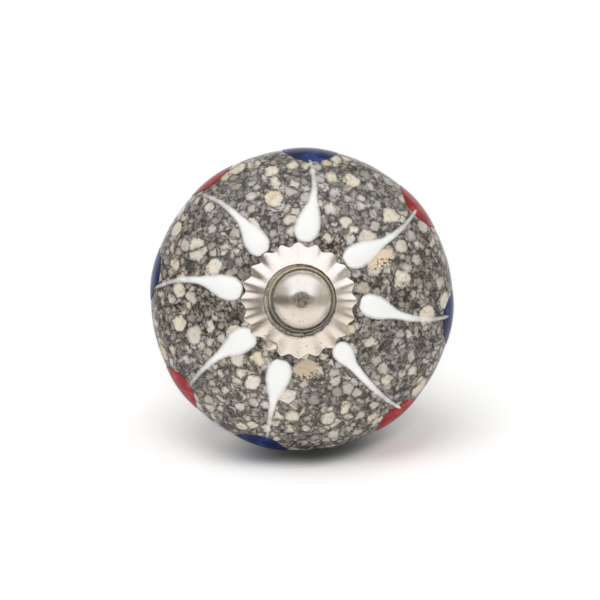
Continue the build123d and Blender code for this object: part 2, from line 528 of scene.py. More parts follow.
@dataclass(frozen=True)
class GraniteGlaze:
    """Speckled stone ground under a clear glossy glaze."""

    name: str = "granite_glaze"
    roughness: float = 0.12
    dark: Colour = linear(38, 32, 27)
    edge_tone: Colour = linear(118, 111, 103)
    stain: Colour = linear(120, 96, 66)
    rust_speck: Colour = linear(70, 50, 34)
    speck: Cloud = Cloud(4.6, 2.0, 0.6)
    blot: Cloud = Cloud(2.4, 3.0, 0.7, (6.3, 1.9, 4.4))
    crowd: Cloud = Cloud(0.13, 1.0, 0.5, (3.1, 8.7, 5.2))
    rust: Cloud = Cloud(0.7, 2.0, 0.5, (2.7, 5.5, 9.1))
    hue: Cloud = Cloud(0.5, 2.0, 0.5, (8.8, 2.2, 6.1))
    haze: Cloud = Cloud(1.2, 3.0, 0.65, (1.4, 7.7, 3.6))
    crumbs: Cloud = Cloud(3.2, 4.0, 0.7)
    fray: tuple[float, float] = (3.2, 0.40)
    pepper_fray: tuple[float, float] = (6.0, 0.2)
    pepper_pitch: float = 0.55
    pepper: Stops = (
        (0.0, linear(50, 43, 37)),
        (0.35, linear(100, 93, 86)),
        (0.7, linear(142, 135, 128)),
        (1.0, linear(184, 178, 170)),
    )
    tints: Stops = (
        (0.30, (0.94, 0.97, 1.04)),
        (0.44, (1.05, 1.05, 1.05)),
        (0.57, (1.06, 1.04, 0.96)),
        (0.72, (1.06, 1.00, 0.97)),
    )
    rusty_pepper: Limits = (0.56, 0.70, 0.0, 0.45)
    dark_blots: Limits = (0.46, 0.60, 0.0, 0.85)
    rusty_places: Limits = (0.51, 0.62)
    rusty_flecks: float = 0.5
    flecks: Limits = (0.54, 0.70)
    hazy_places: Limits = (0.42, 0.66)
    shaded_edge: Limits = (0.0, 0.40, 0.35, 0.0)
    line_gaps: Limits = (0.38, 0.58)
    faint_line: float = 0.35
    line_inner: float = -0.08
    line_width: float = 0.14
    grain_edge: tuple[float, float] = (-0.11, -0.05)
    grain_raggedness: float = 1.7
    wander: float = 0.5
    mean_blot: float = 0.47
    presence: tuple[float, float] = (0.99, 1.01)
    layers: tuple[GrainLayer, ...] = (
        GrainLayer(
            pitch=0.95,
            share=0.52,
            crowding=0.3,
            vein=0.03,
            soft=0.2,
            line=0.5,
            colours=(
                (0.0, linear(130, 123, 116)),
                (0.4, linear(158, 151, 143)),
                (0.75, linear(180, 174, 166)),
                (1.0, linear(198, 192, 184)),
            ),
        ),
        GrainLayer(
            pitch=1.4,
            share=0.56,
            step=(11.3, 27.9, 41.1),
            colours=(
                (0.0, linear(152, 145, 138)),
                (0.4, linear(182, 175, 167)),
                (0.8, linear(204, 198, 190)),
                (1.0, linear(214, 207, 195)),
            ),
        ),
        GrainLayer(
            pitch=1.85,
            share=0.44,
            soft=0.28,
            freckle=0.3,
            step=(31.7, 4.1, 17.3),
            colours=(
                (0.0, linear(176, 169, 162)),
                (0.4, linear(205, 199, 190)),
                (0.75, linear(217, 210, 198)),
                (1.0, linear(222, 211, 190)),
            ),
        ),
        GrainLayer(
            pitch=2.6,
            share=0.30,
            crowding=0.7,
            soft=0.32,
            freckle=0.25,
            step=(7.9, 53.0, 29.3),
            colours=(
                (0.0, linear(208, 202, 193)),
                (0.3, linear(225, 217, 204)),
                (0.65, linear(229, 220, 204)),
                (0.9, linear(225, 212, 190)),
                (1.0, linear(218, 200, 172)),
            ),
        ),
    )
    stained: tuple[StainedGrain, ...] = (
        StainedGrain(10.7, 5.5, 2.2, 1.4, 28.0, linear(226, 206, 176)),
        StainedGrain(0.6, -9.6, 1.8, 1.6, 10.0, linear(196, 179, 154)),
    )
    stained_depth: float = 2.5
    stained_fray: tuple[float, float] = (1.5, 1.2)
    stained_edge: Limits = (0.6, 1.05, 1.0, 0.0)
    stained_specks: Limits = (0.54, 0.64)
    stained_low: float = -0.13

    def pepper_ground(self, sheet: NodeSheet, frayed: Socket, rust: Socket, blot: Socket) -> Socket:
        """The fine dark pepper between the grains.

        Args:
            sheet: the node sheet of the material that shows the ground.
            frayed: ragged coordinates.
            rust: where the ground is stained, between 0 and 1.
            blot: where the ground is dark, between 0 and 1.

        Returns:
            The colour's socket.
        """
        fine = sheet.cells(sheet.shaken(frayed, *self.pepper_fray), 1.0 / self.pepper_pitch)
        colour = sheet.ramp(sheet.chances(fine)[0], self.pepper)
        colour = sheet.blend(sheet.step(rust, *self.rusty_pepper), colour, self.stain)
        return sheet.blend(sheet.step(blot, *self.dark_blots), colour, self.dark)

    def grains(
        self, sheet: NodeSheet, layer: GrainLayer, spot: Socket, crowd: Socket
    ) -> tuple[Socket, Socket, Socket]:
        """Scatters one size of grain.

        Args:
            sheet: the node sheet of the material that shows the ground.
            layer: the size of grain.
            spot: ragged coordinates for the layer.
            crowd: how far the grains crowd together, about 0.

        Returns:
            Whether a grain lies there, the depth inside its edge and the grain's own shade.
        """
        border = sheet.cells(spot, 1.0 / layer.pitch, "DISTANCE_TO_EDGE").outputs["Distance"]
        near = sheet.cells(spot, 1.0 / layer.pitch)
        chance, shade, size = sheet.chances(near)
        keep = sheet.maths("MULTIPLY_ADD", crowd, layer.crowding, chance)
        present = sheet.step(keep, *(limit - layer.share for limit in self.presence))
        low, high = layer.reach
        rounded = sheet.maths("MULTIPLY_ADD", size, high - low, low)
        rounded = sheet.maths("SUBTRACT", rounded, near.outputs["Distance"])
        wall = sheet.maths("SUBTRACT", border, layer.vein / layer.pitch)
        return present, sheet.product(sheet.maths("MINIMUM", wall, rounded), layer.pitch), shade

    def stain_over(self, sheet: NodeSheet, grain: StainedGrain, colour: Socket) -> Socket:
        """Lays one stained grain over a colour.

        Args:
            sheet: the node sheet of the material that shows the ground.
            grain: the stained grain.
            colour: the ground round it.

        Returns:
            The colour with the grain on it.
        """
        height = KNOB.front_height(math.hypot(grain.right, grain.up))
        spot = sheet.shaken(sheet.millimetres((grain.right, -height, grain.up)), *self.stained_fray)
        spot = sheet.moved(spot, (-self.stained_fray[1] / 2,) * 3)
        lean = math.radians(grain.lean)
        cosine, sine = math.cos(lean), math.sin(lean)
        along = sheet.dot(spot, (cosine / grain.half_length, 0.0, sine / grain.half_length))
        across = sheet.dot(spot, (-sine / grain.half_width, 0.0, cosine / grain.half_width))
        deep = sheet.dot(spot, (0.0, 1.0 / self.stained_depth, 0.0))
        far = sheet.maths("MULTIPLY_ADD", across, across, sheet.product(deep, deep))
        far = sheet.maths("MULTIPLY_ADD", along, along, far)
        crumb = sheet.grain(sheet.millimetres(), self.crumbs)
        crumb = sheet.maths("MULTIPLY_ADD", across, self.stained_low, crumb)
        tone = sheet.blend(sheet.step(crumb, *self.stained_specks), grain.tone, self.rust_speck)
        return sheet.blend(sheet.step(far, *self.stained_edge), colour, tone)

    def ground(self, sheet: NodeSheet) -> Socket:
        """Builds the ground's colour on a sheet, in Object coordinates.

        Args:
            sheet: the node sheet of the material that shows the ground.

        Returns:
            The colour's socket.
        """
        place = sheet.millimetres()
        speck, blot, rust, hue, haze = (
            sheet.grain(place, cloud) for cloud in (self.speck, self.blot, self.rust, self.hue, self.haze)
        )
        crowd = sheet.maths("SUBTRACT", sheet.grain(place, self.crowd), 0.5)
        uneven = sheet.maths("MULTIPLY_ADD", blot, -self.wander, self.mean_blot * self.wander)
        tint = sheet.ramp(hue, self.tints)
        rusty = sheet.step(rust, *self.rusty_places)
        fleck = sheet.blend(rusty, self.edge_tone, self.rust_speck)
        frayed = sheet.shaken(place, *self.fray)
        colour = self.pepper_ground(sheet, frayed, rust, blot)
        for layer in self.layers:
            spot = sheet.moved(frayed, layer.step)
            spot = sheet.shaken(spot, self.grain_raggedness / layer.pitch, layer.ragged * layer.pitch)
            present, depth, shade = self.grains(sheet, layer, spot, crowd)
            depth = sheet.maths("ADD", depth, uneven)
            broken = sheet.step(speck, *self.line_gaps, self.faint_line * layer.line, layer.line)
            line = sheet.step(depth, self.line_inner - self.line_width, self.line_inner)
            colour = sheet.blend(sheet.product(sheet.product(line, present), broken), colour, self.dark)
            tone = sheet.blend(1.0, sheet.ramp(shade, layer.colours), tint, "MULTIPLY")
            tone = sheet.blend(sheet.step(haze, *self.hazy_places, 0.0, layer.haze), tone, self.edge_tone)
            tone = sheet.blend(sheet.step(depth, *self.shaded_edge), tone, self.edge_tone)
            flecked = sheet.maths("MULTIPLY_ADD", rusty, self.rusty_flecks, layer.freckle)
            tone = sheet.blend(sheet.product(sheet.step(speck, *self.flecks), flecked), tone, fleck)
            outer, inner = self.grain_edge
            inside = sheet.product(sheet.step(depth, outer, layer.soft + inner), present)
            colour = sheet.blend(inside, colour, tone)
        for grain in self.stained:
            colour = self.stain_over(sheet, grain, colour)
        return colour

    def build(self) -> Material:
        """Makes the material.

        Returns:
            The material.
        """
        sheet = MaterialSheet(self.name)
        sheet.paint(self.ground(sheet))
        sheet.gloss(self.roughness)
        return sheet.material


@dataclass(frozen=True)
class WhiteSlip:
    """Thick white slip that thins to a see-through film in the tails."""

    name: str = "white_slip"
    colour: Colour = linear(245, 245, 243)
    roughness: float = 0.16
    streaks: Cloud = Cloud(1.6)
    streak_share: Limits = (0.3, 0.7, -0.04, 0.04)
    film_start: Limits = (0.0, 0.08)

    def build(self) -> Material:
        """Makes the material, which reads how thin the slip is from the mesh.

        Returns:
            The material.
        """
        sheet = MaterialSheet(self.name)
        film = sheet.attribute("film")
        streak = sheet.step(sheet.grain(sheet.millimetres(), self.streaks), *self.streak_share)
        streak = sheet.maths("ADD", film, streak)
        share = sheet.maths("MULTIPLY", streak, sheet.step(film, *self.film_start), clamp=True)
        sheet.paint(sheet.blend(share, self.colour, GraniteGlaze().ground(sheet)))
        sheet.gloss(self.roughness)
        return sheet.material


@dataclass(frozen=True)
class Enamel:
    """Brushed enamel with thick and thin places."""

    name: str
    thick: Colour
    thin: Colour
    worn: Colour
    roughness: float = 0.14
    specular: float = 0.28
    patches: Cloud = Cloud(0.6, 4.0, 0.65)
    patch_places: tuple[float, float, float] = (0.36, 0.54, 0.70)
    specks: Cloud = Cloud(4.0)
    speck_share: Limits = (0.64, 0.74, 0.0, 0.35)
    speck_shade: float = 0.55

    def build(self) -> Material:
        """Makes the material.

        Returns:
            The material.
        """
        sheet = MaterialSheet(self.name)
        place = sheet.millimetres()
        stops = tuple(zip(self.patch_places, (self.thick, self.thin, self.worn)))
        colour = sheet.ramp(sheet.grain(place, self.patches), stops)
        speck = sheet.step(sheet.grain(place, self.specks), *self.speck_share)
        sheet.paint(sheet.blend(speck, colour, dimmed(self.thick, self.speck_shade)))
        sheet.surface.inputs["Specular IOR Level"].default_value = self.specular
        sheet.gloss(self.roughness)
        return sheet.material


@dataclass(frozen=True)
class BareClay:
    """Unglazed ground clay on the foot and in the recess."""

    name: str = "bare_clay"
    colour: Colour = linear(205, 196, 182)
    dirty: Colour = linear(150, 138, 124)
    roughness: float = 0.75
    grit: Cloud = Cloud(3.0, 4.0, 0.65)
    grit_places: tuple[float, float] = (0.3, 0.7)
    grit_shade: float = 0.72
    grit_depth: float = 0.05
    dirt: Cloud = Cloud(0.5)
    dirt_share: Limits = (0.5, 0.75, 0.0, 0.45)

    def build(self) -> Material:
        """Makes the material.

        Returns:
            The material.
        """
        sheet = MaterialSheet(self.name)
        place = sheet.millimetres()
        grit = sheet.grain(place, self.grit)
        stops = tuple(zip(self.grit_places, (dimmed(self.colour, self.grit_shade), self.colour)))
        dirt = sheet.step(sheet.grain(place, self.dirt), *self.dirt_share)
        sheet.paint(sheet.blend(dirt, sheet.ramp(grit, stops), self.dirty))
        sheet.gloss(self.roughness)
        sheet.relief(grit, self.grit_depth)
        return sheet.material


@dataclass(frozen=True)
class PlatedBrass:
    """Worn nickel plate with fine pits; brass on a band's upper side is partly wear and partly painted
    highlight, the groove holds grime and painted shade, and painted shade darkens the band's lower side and
    the bent fold.
    """

    name: str
    plate: Colour = (0.71, 0.66, 0.60)
    brass: Colour = (0.97, 0.85, 0.62)
    dirt_and_shade_tones: tuple[Colour, Colour] = ((0.17, 0.145, 0.12), (0.66, 0.60, 0.53))
    roughness: float = 0.2
    centre: tuple[float, float] = (0.0, 0.0)
    groove: tuple[float, float] = (4.3, 5.2)
    groove_soft: float = 0.2
    groove_share: Limits = (0.3, 0.65, 0.5, 0.9)
    flange_band: tuple[float, float] = (4.3, 4.6)
    flange_band_soft: float = 0.05
    brass_and_highlight_share: float = 0.8
    brass_roughness: float = 0.5
    low_flange_shade: float = 0.0
    fray: float = 0.0
    fray_low: float = -0.35
    upper_side: Limits = (-2.5, 1.5)
    mottle: Cloud = Cloud(1.4, 3.0, 0.6)
    mottle_places: tuple[float, float] = (0.3, 0.7)
    mottle_shade: float = 0.92
    mottle_relief: float = 0.25
    mottle_gloss: tuple[float, float] = (0.3, 0.75)
    gloss_range: tuple[float, float] = (0.8, 1.3)
    crust: Cloud = Cloud(1.9, 3.0, 0.65)
    crust_places: tuple[float, float] = (0.38, 0.56)
    fold_shade_share: Limits = (0.3, 0.6, 1.0, 0.6)
    dirt_and_shade_roughness: float = 0.3
    pit_scale: float = 1.6
    pit_edge: Limits = (0.06, 0.2, 1.0, 0.0)
    pitted: Cloud = Cloud(0.5, 1.0)
    pitted_places: Limits = (0.42, 0.54)
    pit_shade: float = 0.55
    dent: float = 0.04

    def ring(self, sheet: MaterialSheet, radius: Socket, limits: tuple[float, float], soft: float) -> Socket:
        """A ring round the axis that fades at both edges.

        Args:
            sheet: the node sheet of the material.
            radius: distance from the axis.
            limits: inner and outer radius of the ring.
            soft: how far each edge fades.

        Returns:
            A number that is 1 in the ring and 0 elsewhere.
        """
        low, high = limits
        inside = sheet.step(radius, low, low + soft)
        return sheet.product(inside, sheet.step(radius, high - soft, high, 1.0, 0.0))

    def groove_dirt_and_shade(self, sheet: MaterialSheet, radius: Socket, mottle: Socket, low: Socket) -> Socket:
        """Grime and painted shade in the groove, ragged and wider on the lower side.

        Args:
            sheet: the node sheet of the material.
            radius: distance from the axis.
            mottle: the plate's own cloudiness, between 0 and 1.
            low: 1 on the lower side and 0 on the upper.

        Returns:
            How much grime and painted shade there is, between 0 and 1.
        """
        ragged = sheet.maths("MULTIPLY_ADD", sheet.maths("SUBTRACT", mottle, 0.5), self.fray, radius)
        ragged = sheet.maths("MULTIPLY_ADD", low, self.fray_low * self.fray, ragged)
        dirty = self.ring(sheet, ragged, self.groove, self.groove_soft)
        return sheet.product(dirty, sheet.step(mottle, *self.groove_share))

    def pits(self, sheet: MaterialSheet, place: Socket, low: Socket) -> Socket:
        """Fine pits on the lower side.

        Args:
            sheet: the node sheet of the material.
            place: coordinates about the middle of the piece.
            low: 1 on the lower side and 0 on the upper.

        Returns:
            A number that is 1 in a pit.
        """
        pit = sheet.step(sheet.cells(place, self.pit_scale).outputs["Distance"], *self.pit_edge)
        pit = sheet.product(pit, sheet.step(sheet.grain(place, self.pitted), *self.pitted_places))
        return sheet.product(pit, low)

    def build(self) -> Material:
        """Makes the material, which reads the painted shade along the bent fold from the mesh.

        Returns:
            The material.
        """
        sheet = MaterialSheet(self.name)
        place = sheet.millimetres((self.centre[0], 0.0, self.centre[1]))
        radius = sheet.length(sheet.vector_maths("MULTIPLY", place, (1.0, 0.0, 1.0)).outputs["Vector"])
        mottle = sheet.grain(place, self.mottle)
        high = sheet.step(sheet.axis(place, "Z"), *self.upper_side)
        low = sheet.rest(high)
        pit = self.pits(sheet, place, low)
        plates = (dimmed(self.plate, self.mottle_shade), self.plate)
        colour = sheet.ramp(mottle, tuple(zip(self.mottle_places, plates)))
        flange = self.ring(sheet, radius, self.flange_band, self.flange_band_soft)
        # Brass on the band's upper side only: partly wear, partly painted highlight where the top catches the
        # light.
        worn = sheet.product(flange, sheet.product(high, self.brass_and_highlight_share))
        colour = sheet.blend(worn, colour, self.brass)
        # Grime and painted shade in the groove.
        dirty = self.groove_dirt_and_shade(sheet, radius, mottle, low)
        # Painted shadow on the band's lower side.
        dirty = sheet.maths("MAXIMUM", dirty, sheet.product(flange, sheet.product(low, self.low_flange_shade)))
        crust = sheet.ramp(sheet.grain(place, self.crust), tuple(zip(self.crust_places, self.dirt_and_shade_tones)))
        colour = sheet.blend(dirty, colour, crust)
        # Painted shade along the bent tooth's fold, read from the mesh.
        fold_shaded = sheet.product(sheet.attribute("fold_shade"), sheet.step(mottle, *self.fold_shade_share))
        colour = sheet.blend(fold_shaded, colour, self.dirt_and_shade_tones[0])
        dirty = sheet.maths("MAXIMUM", dirty, fold_shaded)
        sheet.paint(sheet.blend(sheet.product(pit, self.pit_shade), colour, self.dirt_and_shade_tones[0]))
        shine = (self.roughness * share for share in self.gloss_range)
        roughness = sheet.step(mottle, *self.mottle_gloss, *shine)
        roughness = sheet.maths("MULTIPLY_ADD", worn, self.brass_roughness, roughness)
        roughness = sheet.maths("MULTIPLY_ADD", dirty, self.dirt_and_shade_roughness, roughness)
        sheet.gloss(roughness, sheet.rest(dirty))
        height = sheet.maths("MULTIPLY_ADD", mottle, self.mottle_relief, sheet.product(pit, -1.0))
        sheet.relief(height, self.dent)
        return sheet.material


@dataclass(frozen=True)
class ZincSteel:
    """Bright zinc plate with faint cloudy patches."""

    name: str = "zinc_steel"
    bright: Colour = (0.66, 0.66, 0.64)
    dull: Colour = (0.47, 0.47, 0.46)
    patches: Cloud = Cloud(0.6, 4.0, 0.65)
    patch_places: tuple[float, float] = (0.32, 0.66)
    patch_gloss: Limits = (0.3, 0.7, 0.42, 0.26)
    dents: Cloud = Cloud(2.2)
    dent_depth: float = 0.02

    def build(self) -> Material:
        """Makes the material.

        Returns:
            The material.
        """
        sheet = MaterialSheet(self.name)
        place = sheet.millimetres()
        patch = sheet.grain(place, self.patches)
        sheet.paint(sheet.ramp(patch, tuple(zip(self.patch_places, (self.dull, self.bright)))))
        sheet.gloss(sheet.step(patch, *self.patch_gloss), metallic=1.0)
        sheet.relief(sheet.grain(place, self.dents), self.dent_depth)
        return sheet.material


def spun(profile: Profile, steps: int, closed: bool = True) -> Shape:
    """Turns a profile of radius and height round local Z.

    Args:
        profile: points of radius and height, in order.
        steps: how many stretches make the full turn.
        closed: whether the last point joins the first.

    Returns:
        The turned mesh, with faces pointing outwards.
    """
    shape = bmesh.new()
    verts = [shape.verts.new((radius, 0.0, height)) for radius, height in profile]
    following = verts[1:] + (verts[:1] if closed else [])
    edges = [shape.edges.new(pair) for pair in zip(verts, following)]
    bmesh.ops.spin(
        shape,
        geom=verts + edges,
        cent=(0.0, 0.0, 0.0),
        axis=(0.0, 0.0, 1.0),
        angle=math.tau,
        steps=steps,
        use_merge=True,
    )
    bmesh.ops.remove_doubles(shape, verts=shape.verts, dist=1e-5)
    bmesh.ops.recalc_face_normals(shape, faces=shape.faces)
    return shape


def finished(
    name: str,
    shape: Shape,
    materials: Sequence[Material],
    nodes: Sequence[str],
    crease: float,
) -> Object:
    """Lays a shape into the row frame and makes it a piece of the knob.

    Args:
        name: name of the piece.
        shape: the mesh in the turning frame, in millimetres, which is used up.
        materials: materials in the order that the faces count them.
        nodes: CAD nodes that the piece stands for.
        crease: angle past which an edge stays sharp, in degrees.

    Returns:
        The finished object.
    """
    bmesh.ops.transform(shape, matrix=TO_ROW, verts=shape.verts)
    for face in shape.faces:
        face.smooth = True
    mesh = bpy.data.meshes.new(name)
    shape.to_mesh(mesh)
    shape.free()
    mesh.set_sharp_from_angle(angle=math.radians(crease))
    for material in materials:
        mesh.materials.append(material)
    piece = bpy.data.objects.new(name, mesh)
    bpy.context.scene.collection.objects.link(piece)
    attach(piece, "root")
    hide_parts(*nodes)
    LOG.info("%s: %d faces", name, len(mesh.polygons))
    return piece


@dataclass
class CeramicBody:
    """The pressed and glazed body with its bare foot and recess."""

    sizes: KnobSizes = KNOB
    front_rings: int = 72
    back_rings: int = 44
    turn_steps: int = 240
    glaze_edge: Offsets = ((0.12, 0.06), (0.0, -0.1))
    foot_round: float = 0.5
    foot_steps: int = 6
    recess_chamfer: float = 0.25
    unevenness: float = 0.12
    lump_scale: float = 0.11
    lump_step: Point = (4.0, 1.0, 7.0)
    even_margin: float = 0.3
    bare_seat: float = 0.1
    bare_foot: float = 0.45
    crease: float = 50.0

    def profile(self) -> Profile:
        """Closed half section of the body.

        Returns:
            Points of radius and height, in order.
        """
        s = self.sizes
        start = math.acos(s.seat_radius / s.rim_radius)
        points = [(s.bore_radius, s.seat_height), (s.seat_radius, s.seat_height)]
        for ring in range(1, self.front_rings):
            angle = start * (1.0 - ring / self.front_rings)
            points.append((s.rim_radius * math.cos(angle), s.back_rise + s.front_rise * math.sin(angle)))
        end = math.acos(s.foot_radius / s.rim_radius)
        for ring in range(self.back_rings):
            angle = end * ring / self.back_rings
            points.append((s.rim_radius * math.cos(angle), s.back_rise - s.back_curve * math.sin(angle)))
        points += [(s.foot_radius + out, s.foot_height + up) for out, up in self.glaze_edge]
        bend = self.foot_round
        for part in range(self.foot_steps + 1):
            angle = math.radians(90.0 * part / self.foot_steps)
            points.append((s.foot_radius - bend + bend * math.cos(angle), bend - bend * math.sin(angle)))
        points += [(s.recess_radius + self.recess_chamfer, 0.0), (s.recess_radius, self.recess_chamfer)]
        points += [(s.recess_radius, s.recess_depth), (s.bore_radius, s.recess_depth)]
        return points

    def build(self, glaze: Material, clay: Material) -> Object:
        """Turns the body, makes its glaze slightly uneven and dresses it.

        Args:
            glaze: finish of the glazed faces.
            clay: finish of the bare faces.

        Returns:
            The body.
        """
        s = self.sizes
        shape = spun(self.profile(), self.turn_steps)
        shape.normal_update()
        for vert in shape.verts:
            radius = math.hypot(vert.co.x, vert.co.y)
            if vert.co.z < s.foot_height + self.even_margin or radius < s.seat_radius + self.even_margin:
                continue
            lump = 0.5 + 0.5 * noise.noise(vert.co * self.lump_scale + Vector(self.lump_step))
            vert.co -= vert.normal * self.unevenness * lump
        for face in shape.faces:
            centre = face.calc_center_median()
            radius = math.hypot(centre.x, centre.y)
            bare = radius < s.seat_radius - self.bare_seat or centre.z < self.bare_foot
            face.material_index = 1 if bare else 0
        coats = (glaze, clay)
        return finished("ceramic_body_glazed", shape, coats, ["ceramic_body"], self.crease)


@dataclass(frozen=True)
class DropRoute:
    """How one slip drop lies: its head, the swing and bend of its tail, its ends and how far it fades."""

    head_angle: float
    swing: float
    bend: float
    width: float
    start: float
    tip: float
    fade: float


@dataclass
class SlipDrops:
    """The raised white drops that ring the front washer.

    A run is a distance from a drop's inner end, and limits of a run are shares of the drop's length.
    """

    sizes: KnobSizes = KNOB
    head_width: float = 3.72
    neck_width: float = 1.7
    tip_width: float = 0.50
    shoulder: Limits = (0.04, 0.53)
    shoulder_power: float = 3.5
    tip_round: Limits = (0.96, 1.0)
    relief: float = 0.34
    thin_relief: float = 0.5
    crown_power: float = 1.5
    sunk: float = 0.45
    dot_start: Limits = (19.0, 19.8)
    dot_rise: float = 0.16
    thin_run: Limits = (0.48, 0.78)
    thin_film: float = 0.40
    spent_run: Limits = (0.70, 1.0)
    spent_film: float = 0.28
    end_run: Limits = (0.95, 1.0)
    firm_run: Limits = (0.19, 0.51)
    firm: float = 0.64
    firm_loss: float = 0.40
    inner_edge: Limits = (0.0, 0.35)
    most_film: float = 0.95
    around_steps: int = 36
    along_steps: int = 72
    along_power: float = 1.35
    aim_step: float = 0.02
    crease: float = 80.0
    routes: tuple[DropRoute, ...] = (
        DropRoute(38.6, -0.2, -3.4, 0.95, 7.60, 20.1, 0.15),
        DropRoute(86.0, 1.0, -3.1, 0.99, 7.75, 19.35, 0.8),
        DropRoute(128.4, 5.5, -3.0, 0.93, 7.95, 20.2, 0.8),
        DropRoute(171.2, 4.8, -4.0, 0.95, 8.05, 20.4, 0.6),
        DropRoute(214.4, 3.6, -1.9, 0.95, 7.75, 19.7, 1.0),
        DropRoute(252.7, 3.2, 0.1, 0.99, 8.45, 19.7, 1.0),
        DropRoute(308.0, 4.5, -1.6, 0.79, 7.50, 20.3, 0.0),
        DropRoute(355.0, -1.2, -3.9, 0.91, 7.80, 20.4, 0.2),
    )

    def centre(self, route: DropRoute, run: float) -> Vector:
        """Point of a drop's middle line, seen from the front.

        Args:
            route: how the drop lies.
            run: distance from the drop's inner end.

        Returns:
            The point, at height 0.
        """
        head = self.head_width / 2 * route.width
        share = (run - head) / (route.tip - route.start - head)
        bow = 4.0 * share * (1.0 - share) if share > 0.0 else 4.0 * share
        angle = math.radians(route.head_angle + route.swing * share + route.bend * bow)
        radius = route.start + run
        return Vector((radius * math.cos(angle), radius * math.sin(angle), 0.0))

    def half_width(self, route: DropRoute, run: float) -> float:
        """Half width of a drop.

        Args:
            route: how the drop lies.
            run: distance from the drop's inner end.

        Returns:
            The half width, in millimetres.
        """
        head = self.head_width / 2 * route.width
        if run < head:
            return math.sqrt(max(head * head - (head - run) ** 2, 0.0))
        share = (run - head) / (route.tip - route.start - head)
        tail = (self.neck_width + (self.tip_width - self.neck_width) * share) / 2
        full = 1.0 - smoothstep(*self.shoulder, share / route.width**self.shoulder_power)
        return (tail + (head - tail) * full) * math.sqrt(max(1.0 - smoothstep(*self.tip_round, share), 0.0))

    def thinness(self, route: DropRoute, run: float, across: float) -> float:
        """How thin the slip is at a place of a drop.

        Args:
            route: how the drop lies.
            run: distance from the drop's inner end.
            across: place across the drop, from -1 to 1.

        Returns:
            0 for thick slip, and more where the ground shows through.
        """
        share = run / (route.tip - route.start)
        firm = self.firm - self.firm_loss * smoothstep(*self.firm_run, share)
        edge = max(max(abs(across) - firm, 0.0) / (1.0 - firm), 1.0 - smoothstep(*self.inner_edge, run))
        ending = self.spent_film * smoothstep(*self.spent_run, share) + smoothstep(*self.end_run, share)
        fading = self.thin_film * smoothstep(*self.thin_run, share) + route.fade * ending
        return min(fading + self.most_film * edge**2, self.most_film)

    def drop(self, shape: Shape, route: DropRoute, film: Layer) -> None:
        """Adds one drop, drawn from a ball along its route.

        Args:
            shape: the mesh that takes the drop.
            route: how the drop lies.
            film: layer that holds how thin the slip is.
        """
        ball = bmesh.ops.create_uvsphere(
            shape, u_segments=self.around_steps, v_segments=self.along_steps, radius=1.0
        )["verts"]
        length = route.tip - route.start
        for vert in ball:
            turn = math.acos(min(max(-vert.co.z, -1.0), 1.0)) / math.pi
            run = length * turn**self.along_power
            ring = math.hypot(vert.co.x, vert.co.y)
            across = vert.co.x / ring if ring > TINY else 0.0
            above = vert.co.y / ring if ring > TINY else 0.0
            half = self.half_width(route, run)
            ahead = self.centre(route, run + self.aim_step) - self.centre(route, run - self.aim_step)
            ahead.normalize()
            spot = self.centre(route, run) + Vector((-ahead.y, ahead.x, 0.0)) * across * half
            foot, outward = self.sizes.front_point(spot.x, spot.y)
            lift = half * self.relief * (1.0 - self.thin_relief * smoothstep(*self.thin_run, run / length))
            lift += self.dot_rise * smoothstep(*self.dot_start, route.start + run)
            rise = lift * abs(above) ** self.crown_power if above >= 0.0 else -self.sunk * abs(above)
            vert[film] = self.thinness(route, run, across)
            vert.co = foot + outward * rise

    def build(self, slip: Material) -> Object:
        """Trails every drop and dresses them.

        Args:
            slip: finish of the drops.

        Returns:
            The drops.
        """
        shape = bmesh.new()
        film = shape.verts.layers.float.new("film")
        for route in self.routes:
            self.drop(shape, route, film)
        bmesh.ops.recalc_face_normals(shape, faces=shape.faces)
        return finished("trailed_slip_drops", shape, (slip,), ["white_slip_drops"], self.crease)


@dataclass(frozen=True)
class DotPlace:
    """Where one enamel dot lies on the rim: angle, step towards the front, spread and seed of its outline."""

    angle: float
    forward: float
    spread: float
    seed: float


RED_PLACES = (
    DotPlace(38.8, 0.35, 1.09, 1.0),
    DotPlace(127.0, -0.7, 1.04, 2.0),
    DotPlace(216.0, 0.3, 1.04, 3.0),
    DotPlace(309.5, 0.2, 1.03, 4.0),
)
BLUE_PLACES = (
    DotPlace(86.8, 0.8, 1.10, 5.0),
    DotPlace(170.0, -0.4, 1.06, 6.0),
    DotPlace(254.2, 0.1, 1.12, 7.0),
    DotPlace(353.2, 0.0, 1.08, 8.0),
)


